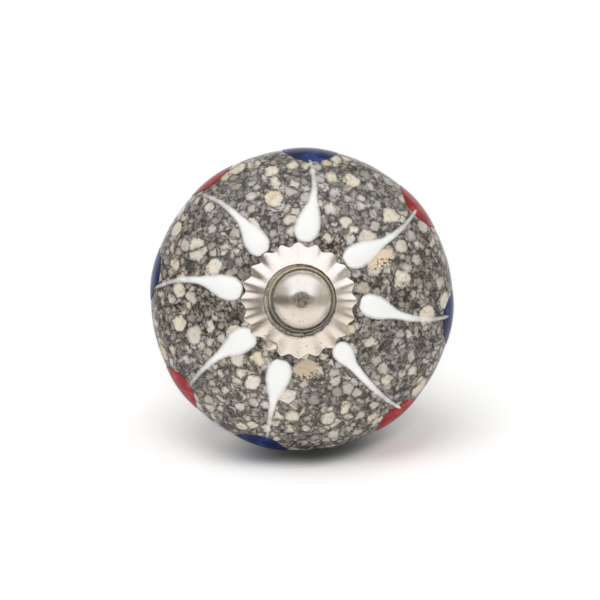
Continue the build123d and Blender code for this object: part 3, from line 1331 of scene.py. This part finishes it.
@dataclass
class EnamelDots:
    """Round enamel dots of one colour on the rim."""

    name: str
    node: str
    slot: Slot
    places: tuple[DotPlace, ...]
    sizes: KnobSizes = KNOB
    width: float = 7.2
    length: float = 8.4
    height: float = 0.14
    sunk: float = 0.4
    wobble: float = 0.05
    wobble_scale: float = 1.3
    around_steps: int = 56
    along_steps: int = 28
    crease: float = 80.0

    def dot(self, shape: Shape, place: DotPlace) -> None:
        """Adds one dot, a flattened ball laid on the rim.

        Args:
            shape: the mesh that takes the dot.
            place: where the dot lies.
        """
        ball = bmesh.ops.create_uvsphere(
            shape, u_segments=self.around_steps, v_segments=self.along_steps, radius=1.0
        )["verts"]
        middle = math.radians(place.angle)
        for vert in ball:
            ring = math.hypot(vert.co.x, vert.co.y)
            turn = math.atan2(vert.co.y, vert.co.x)
            around = Vector((math.cos(turn), math.sin(turn), place.seed))
            uneven = 0.5 + 0.5 * noise.noise(around * self.wobble_scale)
            reach = ring * (1.0 - self.wobble * uneven)
            across = reach * math.cos(turn) * self.width / 2 * place.spread
            height = self.sizes.back_rise + place.forward + reach * math.sin(turn) * self.length / 2
            near, _ = self.sizes.rim_point(middle, height)
            foot, outward = self.sizes.rim_point(middle + across / math.hypot(near.x, near.y), height)
            rise = self.height * vert.co.z**2 if vert.co.z > 0.0 else self.sunk * vert.co.z
            vert.co = foot + outward * rise

    def build(self, enamel: Material) -> Object:
        """Lays every dot and dresses them.

        Args:
            enamel: finish of the dots.

        Returns:
            The dots.
        """
        shape = bmesh.new()
        for place in self.places:
            self.dot(shape, place)
        bmesh.ops.recalc_face_normals(shape, faces=shape.faces)
        return finished(self.name, shape, (enamel,), [self.node], self.crease)


@dataclass(frozen=True)
class Wear:
    """Uneven wear round the washer: its reach, its scale and the step that sets it apart from others."""

    reach: float
    scale: float
    step: Point

    def at(self, around: Vector) -> float:
        """Wear in a direction from the axis."""
        return self.reach * noise.noise(around * self.scale + Vector(self.step))


@dataclass(frozen=True)
class Bend:
    """What the bent tooth does at a place: shift outwards and lift, twist in radians and painted shade along
    its fold.
    """

    reach: float
    lift: float
    twist: float
    fold_shade: float


@dataclass(frozen=True)
class BentTooth:
    """One tooth of the washer that was folded down and aside.

    Turns are in degrees from the tooth's middle, and runs go from 0 at the crest to 1 at the brim's edge.
    """

    angle: float = 234.0
    first_side: Limits = (-11.0, -8.0)
    last_side: Limits = (9.0, 12.0)
    fold_run: float = 0.55
    fold_bow: float = 0.20
    fold_middle: float = 1.0
    fold_half: float = 11.0
    fold_soft: float = 0.09
    fold_drop: float = 0.30
    # Place and width of the painted shade just past the fold.
    fold_shade_run: float = 0.05
    fold_shade_width: float = 0.075
    kink_turn: float = 12.0
    kink_width: float = 4.0
    kink_run: Limits = (0.2, 0.8)
    kink_lift: float = 0.10
    notch_turn: float = -8.0
    notch_width: float = 3.5
    notch_run: Limits = (0.3, 1.0)
    notch_depth: float = 0.35
    twist: float = 4.5
    twist_width: float = 8.0
    twist_run: Limits = (0.4, 1.0)

    def bend(self, angle: float, along: float) -> Bend:
        """Bends the brim at a place.

        Args:
            angle: angle round the washer, in radians.
            along: run from the crest to the edge.

        Returns:
            What the bend does there.
        """
        turned = (math.degrees(angle) - self.angle + 180.0) % 360.0 - 180.0
        window = smoothstep(*self.first_side, turned) * (1.0 - smoothstep(*self.last_side, turned))
        fold = self.fold_run + self.fold_bow * ((turned - self.fold_middle) / self.fold_half) ** 2
        flap = window * smoothstep(fold, fold + self.fold_soft, along)
        kink = bell(turned, self.kink_turn, self.kink_width) * smoothstep(*self.kink_run, along)
        notch = bell(turned, self.notch_turn, self.notch_width) * smoothstep(*self.notch_run, along)
        aside = bell(turned, 0.0, self.twist_width) * smoothstep(*self.twist_run, along)
        return Bend(
            reach=-self.notch_depth * notch,
            lift=self.kink_lift * kink - self.fold_drop * flap,
            twist=math.radians(self.twist) * aside,
            fold_shade=window * bell(along, fold + self.fold_shade_run, self.fold_shade_width),
        )


@dataclass
class FlutedWasher:
    """The pressed front washer with its dish, crest and fluted brim."""

    sizes: KnobSizes = KNOB
    hole_radius: float = 3.05
    dish_radius: float = 4.78
    crest_radius: float = 4.98
    edge_radius: float = 7.618
    crest_height: float = 1.50
    edge_height: float = 0.07
    dish_bend: Offsets = ((-0.1, 0.0), (0.03, 0.06))
    crest_bend: Offsets = ((-0.11, -0.38), (-0.05, -0.05))
    under_bend: Offsets = ((0.2, 0.0), (0.27, 0.05))
    under_crest: float = 0.05
    edge_round: float = 0.06
    nose: tuple[float, float] = (0.72, 0.28)
    brim_rings: int = 28
    flutes: int = 20
    steps_per_flute: int = 18
    flute_start: float = 0.12
    flute_lift: float = 0.10
    shallow: float = 0.20
    ridge_round: float = 0.3
    crest_waver: float = 0.05
    deepest_flute: float = -0.14
    lowest: float = -0.27
    tooth_reach: float = 0.28
    tooth_power: float = 1.6
    tooth_point: float = 0.1
    even_share: float = 0.7
    uneven_share: float = 0.3
    wear_scale: float = 2.6
    wander: Wear = Wear(0.03, 1.3, (5.0, 8.0, 2.0))
    unevenness: Wear = Wear(0.5, 1.0, (2.0, 5.0, 1.0))
    sway: Wear = Wear(0.10, 1.7, (9.0, 3.0, 4.0))
    bent_tooth: BentTooth = BentTooth()
    shift: tuple[float, float] = (-0.40, -0.12)
    drift: float = 0.15
    crease: float = 32.0

    def profile(self) -> Profile:
        """Closed half section of the sheet before it is fluted.

        Returns:
            Points of radius and height, in order.
        """
        t = self.sizes.sheet
        top = [(self.hole_radius, t)]
        top += [(self.dish_radius + out, t + up) for out, up in self.dish_bend]
        top += [(self.crest_radius + out, self.crest_height + up) for out, up in self.crest_bend]
        under = [(self.hole_radius, 0.0)]
        under += [(self.dish_radius + out, up) for out, up in self.under_bend]
        for ring in range(self.brim_rings + 1):
            along = ring / self.brim_rings
            radius = self.crest_radius + (self.edge_radius - self.crest_radius) * along
            radius -= self.edge_round if ring == self.brim_rings else 0.0
            height = self.crest_height + (self.edge_height + t - self.crest_height) * along
            top.append((radius, height))
            under.append((radius, height - t + (self.under_crest if ring == 0 else 0.0)))
        nose = [(self.edge_radius, self.edge_height + t * share) for share in self.nose]
        return top + nose + under[::-1]

    def flute(self, vert: bmesh.types.BMVert, fold_shade: Layer) -> None:
        """Presses the flutes into the brim at one point, with the unevenness of a worn stamping.

        Args:
            vert: the point.
            fold_shade: layer that holds how much painted shade lies there, along the bent fold.
        """
        radius = math.hypot(vert.co.x, vert.co.y)
        if radius <= self.crest_radius - self.flute_start:
            return
        angle = math.atan2(vert.co.y, vert.co.x)
        along = (radius - self.crest_radius) / (self.edge_radius - self.crest_radius)
        outer = max(along, 0.0)
        around = Vector((math.cos(angle), math.sin(angle), 0.0)) * self.wear_scale
        phase = angle + self.wander.at(around)
        ridge = 2.0 * math.hypot(math.cos(phase * self.flutes / 2), self.ridge_round) - 1.0 - self.ridge_round
        wave = math.cos(phase * self.flutes)
        point = 1.0 - 2.0 * math.acos(max(min(wave, 1.0), -1.0)) / math.pi
        tooth = (1.0 - self.tooth_point) * wave + self.tooth_point * point
        uneven = 1.0 + self.unevenness.at(around)
        bend = self.bent_tooth.bend(angle, along)
        cut = self.even_share + self.uneven_share * uneven
        reach = outer**self.tooth_power * self.tooth_reach * tooth * cut
        reach = min(reach, self.tooth_reach) + bend.reach
        depth = self.shallow + (1.0 - self.shallow) * outer**2
        lift = depth * self.flute_lift * ridge * uneven + self.sway.at(around) * outer
        lift = max(lift, self.deepest_flute) + bend.lift
        waver = self.crest_waver * ridge if along < 0.0 else 0.0
        grown = (radius + reach + waver) / radius
        pressed = Vector((vert.co.x * grown, vert.co.y * grown, vert.co.z))
        vert.co = Matrix.Rotation(bend.twist, 4, "Z") @ pressed
        vert.co.z += max(lift, self.lowest)
        vert.co.x -= self.drift * min(outer, 1.0)
        vert[fold_shade] = bend.fold_shade

    def build(self, plate: Material) -> Object:
        """Turns the sheet, presses its flutes and dresses it.

        Args:
            plate: finish of the washer.

        Returns:
            The washer.
        """
        shape = spun(self.profile(), self.flutes * self.steps_per_flute)
        fold_shade = shape.verts.layers.float.new("fold_shade")
        for vert in shape.verts:
            self.flute(vert, fold_shade)
        place = Matrix.Translation((self.shift[0] + self.drift, self.shift[1], self.sizes.seat_height))
        bmesh.ops.transform(shape, matrix=place, verts=shape.verts)
        return finished("fluted_washer_pressed", shape, (plate,), ["fluted_washer"], self.crease)


@dataclass
class DomedCap:
    """The turned cap with its dome and stepped flange."""

    sizes: KnobSizes = KNOB
    dome_radius: float = 4.275
    dome_height: float = 3.348
    flange_radius: float = 4.5
    flange_height: float = 0.80
    neck: Offsets = ((-0.02, -0.07), (0.05, -0.09))
    flange_round: Offsets = ((-0.07, -0.10), (-0.02, -0.14), (0.0, -0.20))
    flange_chamfer: float = 0.08
    hole_radius: float = 2.26
    hole_chamfer: float = 0.2
    rings: int = 40
    turn_steps: int = 128
    crease: float = 40.0

    def profile(self) -> Profile:
        """Half section from the crown to the end of the blind hole.

        Returns:
            Points of radius and height, in order.
        """
        ball = (self.dome_height**2 + self.dome_radius**2) / (2 * self.dome_height)
        middle = self.flange_height + self.dome_height - ball
        spread = math.acos((self.flange_height - middle) / ball)
        points = [(0.0, middle + ball)]
        for ring in range(1, self.rings + 1):
            angle = spread * ring / self.rings
            points.append((ball * math.sin(angle), middle + ball * math.cos(angle)))
        points += [(self.dome_radius + out, self.flange_height + up) for out, up in self.neck]
        points += [(self.flange_radius + out, self.flange_height + up) for out, up in self.flange_round]
        points += [(self.flange_radius, self.flange_chamfer), (self.flange_radius - self.flange_chamfer, 0.0)]
        points += [(self.hole_radius + self.hole_chamfer, 0.0), (self.hole_radius, self.hole_chamfer)]
        points += [(self.hole_radius, self.sizes.cap_hole_depth), (0.0, self.sizes.cap_hole_depth)]
        return points

    def build(self, plate: Material) -> Object:
        """Turns the cap and dresses it.

        Args:
            plate: finish of the cap.

        Returns:
            The cap.
        """
        shape = spun(self.profile(), self.turn_steps, closed=False)
        bmesh.ops.translate(shape, verts=shape.verts, vec=(0.0, 0.0, self.sizes.cap_height))
        return finished("domed_cap_turned", shape, (plate,), ["domed_cap_nut"], self.crease)


@dataclass
class ThreadedStud:
    """The stud with its rolled thread."""

    sizes: KnobSizes = KNOB
    root_radius: float = 2.08
    root_bite: float = 0.15
    pitch: float = 0.8
    ridge_foot: tuple[float, float] = (0.0, 0.74)
    ridge_crest: tuple[float, float] = (0.45, 0.30)
    past_recess: float = 3.0
    point: float = 0.6
    core_point: float = 0.24
    core_chamfer: float = 0.2
    core_steps: int = 48
    steps_per_turn: int = 28
    crease: float = 30.0

    def core(self) -> Shape:
        """The plain core, from the end of the cap's hole to the free end.

        Returns:
            The core's mesh.
        """
        top = self.sizes.cap_height + self.sizes.cap_hole_depth
        end = -self.sizes.stud_reach
        root = self.root_radius
        profile = [(0.0, top), (root - self.core_chamfer, top), (root, top - self.core_chamfer)]
        profile += [(root, end + self.core_point), (root - self.core_point, end), (0.0, end)]
        return spun(profile, self.core_steps, closed=False)

    def thread(self, shape: Shape) -> None:
        """Winds the thread's ridge up the core.

        Args:
            shape: the mesh that holds the core.
        """
        start = -self.sizes.stud_reach
        turns = (self.sizes.recess_depth + self.past_recess - start) / self.pitch
        section = [(self.root_radius - self.root_bite, share) for share in self.ridge_foot]
        section += [(self.sizes.stud_radius, share) for share in self.ridge_crest]
        verts = [shape.verts.new((radius, 0.0, start + share * self.pitch)) for radius, share in section]
        steps = int(turns * self.steps_per_turn)
        bmesh.ops.spin(
            shape,
            geom=[shape.faces.new(verts)],
            cent=(0.0, 0.0, 0.0),
            axis=(0.0, 0.0, 1.0),
            dvec=(0.0, 0.0, self.pitch / self.steps_per_turn),
            angle=math.tau * steps / self.steps_per_turn,
            steps=steps,
        )

    def build(self, steel: Material) -> Object:
        """Turns the core, winds its thread, points the free end and dresses the stud.

        Args:
            steel: finish of the stud.

        Returns:
            The stud.
        """
        shape = self.core()
        self.thread(shape)
        bmesh.ops.recalc_face_normals(shape, faces=shape.faces)
        end = -self.sizes.stud_reach
        for vert in shape.verts:
            vert.co.z = max(vert.co.z, end)
            radius = math.hypot(vert.co.x, vert.co.y)
            limit = self.sizes.stud_radius - self.point + max(vert.co.z - end, 0.0)
            if radius > limit:
                vert.co.x *= limit / radius
                vert.co.y *= limit / radius
        return finished("stud_with_thread", shape, (steel,), ["threaded_stud"], self.crease)


@dataclass
class Fasteners:
    """The nuts and plain washers, which keep their CAD shape."""

    nodes: tuple[str, ...] = ("clamp_washer", "clamp_nut", "fixing_washer", "fixing_nut")

    def dress(self, steel: Material) -> None:
        """Gives every fastener its finish.

        Args:
            steel: finish of the fasteners.
        """
        for name in self.nodes:
            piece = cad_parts[name]
            for place in piece.material_slots:
                place.material = steel
            LOG.info("%s: zinc finish", name)


@dataclass
class Table:
    """The pale table, which leans as if the knob lay on its rim and on the end of its stud.

    Sizes are in millimetres, and depths run from the rim towards the back.
    """

    sizes: KnobSizes = KNOB
    radius: float = 160.0
    segments: int = 96
    gap: float = 0.8
    white: Colour = (0.90, 0.90, 0.90)
    seen_white: Colour = (1.34, 1.34, 1.34)
    roughness: float = 0.7
    shade_bow: float = 20.0
    touch_right: float = 1.4
    touch_half: float = 10.5
    touch_back: float = 6.5
    touch_front: float = 2.8
    touch_shade: Limits = (0.0, 1.7, 0.72, 0.0)
    core_right: float = 2.6
    core_start: Limits = (-2.4, 1.2)
    core_sides: Limits = (3.0, 12.0, 0.55, 0.0)
    core_end: Limits = (7.0, 18.0, 1.0, 0.0)
    glow: Colour = (1.0, 0.87, 0.77)
    glow_ahead: Limits = (-14.0, 0.0, 0.45, 0.0)
    mirrored_end: Limits = (45.0, 150.0)
    seen_end: Limits = (55.0, 95.0)

    def mesh(self) -> bpy.types.Mesh:
        """A round top, laid just below the rim.

        Returns:
            The mesh.
        """
        shape = bmesh.new()
        bmesh.ops.create_circle(shape, cap_ends=True, segments=self.segments, radius=self.radius * MM)
        s = self.sizes
        lean = math.atan2(s.rim_radius - s.stud_radius, s.back_rise + s.stud_reach)
        place = Matrix.Translation((0.0, -s.back_rise * MM, -(s.rim_radius + self.gap) * MM))
        bmesh.ops.transform(shape, matrix=place @ Matrix.Rotation(lean, 4, "X"), verts=shape.verts)
        mesh = bpy.data.meshes.new("table")
        shape.to_mesh(mesh)
        shape.free()
        return mesh

    def shaded(self, sheet: MaterialSheet, tone: Socket, aside: Socket, depth: Socket) -> Socket:
        """Darkens the table where the knob keeps the light off it: softly all round, and more in a core.

        Args:
            sheet: the node sheet of the table.
            tone: the table's colour in full light.
            aside: distance to the right of the axis.
            depth: distance behind the rim.

        Returns:
            The shaded colour's socket.
        """
        right = sheet.maths("MAXIMUM", aside, 0.0)
        bow = sheet.product(sheet.product(right, right), -1 / self.shade_bow)
        hugging = sheet.maths("ADD", depth, bow)
        across = sheet.product(sheet.maths("SUBTRACT", aside, self.touch_right), 1 / self.touch_half)
        behind = sheet.product(hugging, 1 / self.touch_back)
        along = sheet.maths("MAXIMUM", behind, sheet.product(hugging, -1 / self.touch_front))
        near = sheet.maths("MULTIPLY_ADD", across, across, sheet.product(along, along))
        touch = sheet.step(sheet.maths("SQRT", near), *self.touch_shade)
        beside = sheet.maths("ABSOLUTE", sheet.maths("SUBTRACT", aside, self.core_right))
        core = sheet.product(sheet.step(hugging, *self.core_start), sheet.step(beside, *self.core_sides))
        core = sheet.product(core, sheet.step(depth, *self.core_end))
        return sheet.blend(core, sheet.blend(touch, tone, BLACK), BLACK)

    def material(self) -> Material:
        """The table's finish, which fades into the room away from the knob and is clear from behind.

        Returns:
            The material.
        """
        sheet = MaterialSheet("table_white")
        path = sheet.add("ShaderNodeLightPath")
        seen = path.outputs["Is Camera Ray"]
        mirrored = path.outputs["Is Glossy Ray"]
        place = sheet.millimetres((0.0, -self.sizes.back_rise, 0.0))
        aside, depth = (sheet.axis(place, name) for name in "XY")
        sheet.paint(self.shaded(sheet, sheet.blend(seen, self.white, self.seen_white), aside, depth))
        sheet.gloss(self.roughness)
        sheet.surface.inputs["Specular IOR Level"].default_value = 0.0
        # Painted light: seen only in reflections, the table glows warm in front of the rim, though it is no
        # lamp.
        glow = sheet.add("ShaderNodeEmission")
        glow.inputs["Color"].default_value = (*self.glow, 1.0)
        sheet.join(sheet.product(mirrored, sheet.step(depth, *self.glow_ahead)), glow.inputs["Strength"])
        lit = sheet.add("ShaderNodeAddShader")
        sheet.join(sheet.surface.outputs[0], lit.inputs[0])
        sheet.join(glow.outputs[0], lit.inputs[1])
        far = sheet.length(sheet.millimetres())
        ended = sheet.maths(
            "MAXIMUM",
            sheet.product(sheet.step(far, *self.mirrored_end), mirrored),
            sheet.product(sheet.step(far, *self.seen_end), seen),
        )
        back = sheet.add("ShaderNodeNewGeometry").outputs["Backfacing"]
        clear = sheet.add("ShaderNodeBsdfTransparent")
        whole = sheet.mixed_shaders(sheet.maths("MAXIMUM", back, ended), lit, clear)
        sheet.join(whole.outputs[0], sheet.output.inputs["Surface"])
        return sheet.material

    def build(self) -> Object:
        """Sets the table under the knob.

        Returns:
            The table.
        """
        mesh = self.mesh()
        mesh.materials.append(self.material())
        table = bpy.data.objects.new("table", mesh)
        bpy.context.scene.collection.objects.link(table)
        return table


@dataclass(frozen=True)
class MirroredRoom:
    """What polished faces mirror: a bright tent above, a dim horizon, a warm table and the dark camera side.

    Limits are parts of the direction in which a face looks: to the side, up, or towards the camera.
    """

    tent: Stops = (
        (0.0, (0.34, 0.33, 0.33)),
        (0.25, (0.50, 0.48, 0.46)),
        (0.47, (1.36, 1.40, 1.46)),
        (1.0, (1.36, 1.40, 1.46)),
    )
    tent_ends: Limits = (0.48, 0.95)
    left_end: Colour = (0.66, 0.63, 0.59)
    right_end: Colour = (0.76, 0.73, 0.69)
    between_ends: Limits = (-0.3, 0.3)
    left_dim: Colour = (0.27, 0.245, 0.22)
    right_dim: Colour = (0.58, 0.555, 0.51)
    between_dims: Limits = (-0.6, 0.6)
    tent_start: Limits = (0.06, 0.34)
    table: Colour = (0.97, 0.895, 0.835)
    table_end: Limits = (-0.55, -0.08)
    camera_side: Colour = (0.40, 0.37, 0.34)
    camera_side_bow: float = -1.5
    camera_side_start: Limits = (0.62, 0.78, 0.0, 0.8)
    backdrop: Colour = (0.95, 0.95, 0.96)
    backdrop_start: Limits = (0.40, 0.75)
    camera_dark: Colour = (0.12, 0.11, 0.10)
    camera_light: Colour = (0.50, 0.465, 0.43)
    camera_start: Limits = (0.835, 0.885)
    clutter: Cloud = Cloud(7.5, 3.0, 0.6)
    clutter_limits: Limits = (0.45, 0.55)

    def colour(self, sheet: NodeSheet) -> Socket:
        """The colour in every direction.

        Args:
            sheet: the node sheet of the room.

        Returns:
            The mirrored colour's socket.
        """
        direction = sheet.add("ShaderNodeTexCoord").outputs["Generated"]
        aside, back, up = (sheet.axis(direction, name) for name in "XYZ")
        facing = sheet.product(back, -1.0)
        ends = sheet.blend(sheet.step(aside, *self.between_ends), self.left_end, self.right_end)
        tent = sheet.ramp(sheet.step(facing, -1.0, 1.0), self.tent)
        tent = sheet.blend(sheet.step(sheet.maths("ABSOLUTE", aside), *self.tent_ends), tent, ends)
        dim = sheet.blend(sheet.step(aside, *self.between_dims), self.left_dim, self.right_dim)
        above = sheet.blend(sheet.step(up, *self.tent_start), dim, tent)
        room = sheet.blend(sheet.step(up, *self.table_end), self.table, above)
        bowed = sheet.maths("MULTIPLY_ADD", sheet.product(up, up), self.camera_side_bow, facing)
        room = sheet.blend(sheet.step(bowed, *self.camera_side_start), room, self.camera_side)
        room = sheet.blend(sheet.step(back, *self.backdrop_start), room, self.backdrop)
        clutter = sheet.step(sheet.grain(direction, self.clutter), *self.clutter_limits)
        camera = sheet.blend(clutter, self.camera_dark, self.camera_light)
        return sheet.blend(sheet.step(facing, *self.camera_start), room, camera)


@dataclass(frozen=True)
class SoftLamp:
    """A soft square lamp: its place and side in metres, and its strength in watts."""

    name: str
    place: Point
    side: float
    power: float

    def hang(self, aim: Vector) -> Object:
        """Hangs the lamp so that it looks at a point.

        Args:
            aim: the point, in metres.

        Returns:
            The lamp.
        """
        light = bpy.data.lights.new(self.name, "AREA")
        light.size = self.side
        light.energy = self.power
        lamp = bpy.data.objects.new(self.name, light)
        lamp.location = self.place
        lamp.rotation_euler = (aim - Vector(self.place)).to_track_quat("-Z", "Y").to_euler()
        lamp.visible_glossy = False
        bpy.context.scene.collection.objects.link(lamp)
        return lamp


@dataclass
class Studio:
    """Table, light, background and camera."""

    sizes: KnobSizes = KNOB
    background: Colour = (1.0, 1.0, 1.0)
    fill: Colour = (1.0, 0.99, 0.98)
    fill_level: float = 0.40
    lamps: tuple[SoftLamp, ...] = (
        SoftLamp("tent_top", (-0.14, -0.50, 0.84), 0.6, 3.0),
        SoftLamp("tent_front", (0.0, -1.2, -0.12), 0.4, 6.5),
        SoftLamp("tent_back", (0.15, 0.9, 0.52), 0.4, 1.6),
    )
    lamp_aim: Point = (0.0, -0.012, 0.0)
    sensor_width: float = 36.0
    camera_distance: float = 0.45
    silhouette_pixels: float = 151.5
    frame_pixels: float = 600.0
    centre_pixels: tuple[float, float] = (301.8, 299.7)

    def room(self) -> None:
        """White room that lights the knob evenly, with its own picture for what shines."""
        world = bpy.data.worlds.new("studio_room")
        bpy.context.scene.world = world
        world.use_nodes = True
        sheet = NodeSheet(world.node_tree)
        path = sheet.add("ShaderNodeLightPath")
        plain, fill, gleam = (sheet.add("ShaderNodeBackground") for _ in range(3))
        plain.inputs["Color"].default_value = (*self.background, 1.0)
        fill.inputs["Color"].default_value = (*self.fill, 1.0)
        fill.inputs["Strength"].default_value = self.fill_level
        sheet.join(MirroredRoom().colour(sheet), gleam.inputs["Color"])
        light = sheet.mixed_shaders(path.outputs["Is Glossy Ray"], fill, gleam)
        seen = sheet.maths("MAXIMUM", path.outputs["Is Camera Ray"], path.outputs["Is Transmission Ray"])
        whole = sheet.mixed_shaders(seen, light, plain)
        sheet.join(whole.outputs[0], sheet.add("ShaderNodeOutputWorld").inputs["Surface"])

    def camera(self) -> Object:
        """The camera on the knob's axis, framed as in the photograph.

        Returns:
            The camera.
        """
        lens = bpy.data.cameras.new("front_camera")
        lens.sensor_width = self.sensor_width
        spread = math.tan(math.asin(self.sizes.rim_radius * MM / self.camera_distance))
        lens.lens = self.silhouette_pixels / spread / self.frame_pixels * lens.sensor_width
        lens.shift_x = (self.frame_pixels / 2 - self.centre_pixels[0]) / self.frame_pixels
        lens.shift_y = (self.centre_pixels[1] - self.frame_pixels / 2) / self.frame_pixels
        camera = bpy.data.objects.new("front_camera", lens)
        camera.location = (0.0, -self.camera_distance - self.sizes.back_rise * MM, 0.0)
        camera.rotation_euler = (math.radians(90.0), 0.0, 0.0)
        bpy.context.scene.collection.objects.link(camera)
        bpy.context.scene.camera = camera
        return camera

    def build(self) -> None:
        """Sets the table, the room, the lamps and the camera."""
        Table().build()
        self.room()
        for lamp in self.lamps:
            lamp.hang(Vector(self.lamp_aim))
        self.camera()
        bpy.context.scene.view_settings.view_transform = "Standard"
        LOG.info("studio: table, room, %d lamps and camera", len(self.lamps))


def main() -> None:
    """Builds every piece, dresses it and sets the studio."""
    logging.basicConfig(level=logging.INFO, format="%(name)s: %(message)s")
    glaze = GraniteGlaze().build()
    clay = BareClay().build()
    slip = WhiteSlip().build()
    red = Enamel("red_enamel", linear(130, 12, 18), linear(166, 32, 40), linear(200, 78, 84)).build()
    blue = Enamel("blue_enamel", linear(10, 18, 48), linear(14, 40, 102), linear(36, 84, 160)).build()
    washer_plate = PlatedBrass(
        "plated_washer",
        plate=(0.79, 0.735, 0.67),
        centre=(-0.25, -0.12),
        groove=(4.2, 5.0),
        fray=0.7,
        dent=0.065,
    ).build()
    # The cap's narrow groove at the foot of the dome and the lower side of its flange take a dark painted
    # shade.
    cap_plate = PlatedBrass(
        "plated_cap",
        roughness=0.16,
        groove=(4.22, 4.36),
        flange_band=(4.3, 4.75),
        low_flange_shade=0.95,
        dirt_and_shade_tones=((0.05, 0.042, 0.035), (0.14, 0.12, 0.10)),
    ).build()
    steel = ZincSteel().build()

    CeramicBody().build(glaze, clay)
    SlipDrops().build(slip)
    EnamelDots("red_dots_painted", "red_enamel_dots", Slot.RED, RED_PLACES).build(red)
    EnamelDots("blue_dots_painted", "blue_enamel_dots", Slot.BLUE, BLUE_PLACES).build(blue)
    FlutedWasher().build(washer_plate)
    DomedCap().build(cap_plate)
    ThreadedStud().build(steel)
    Fasteners().dress(steel)
    Studio().build()


if __name__ == "__main__":
    main()
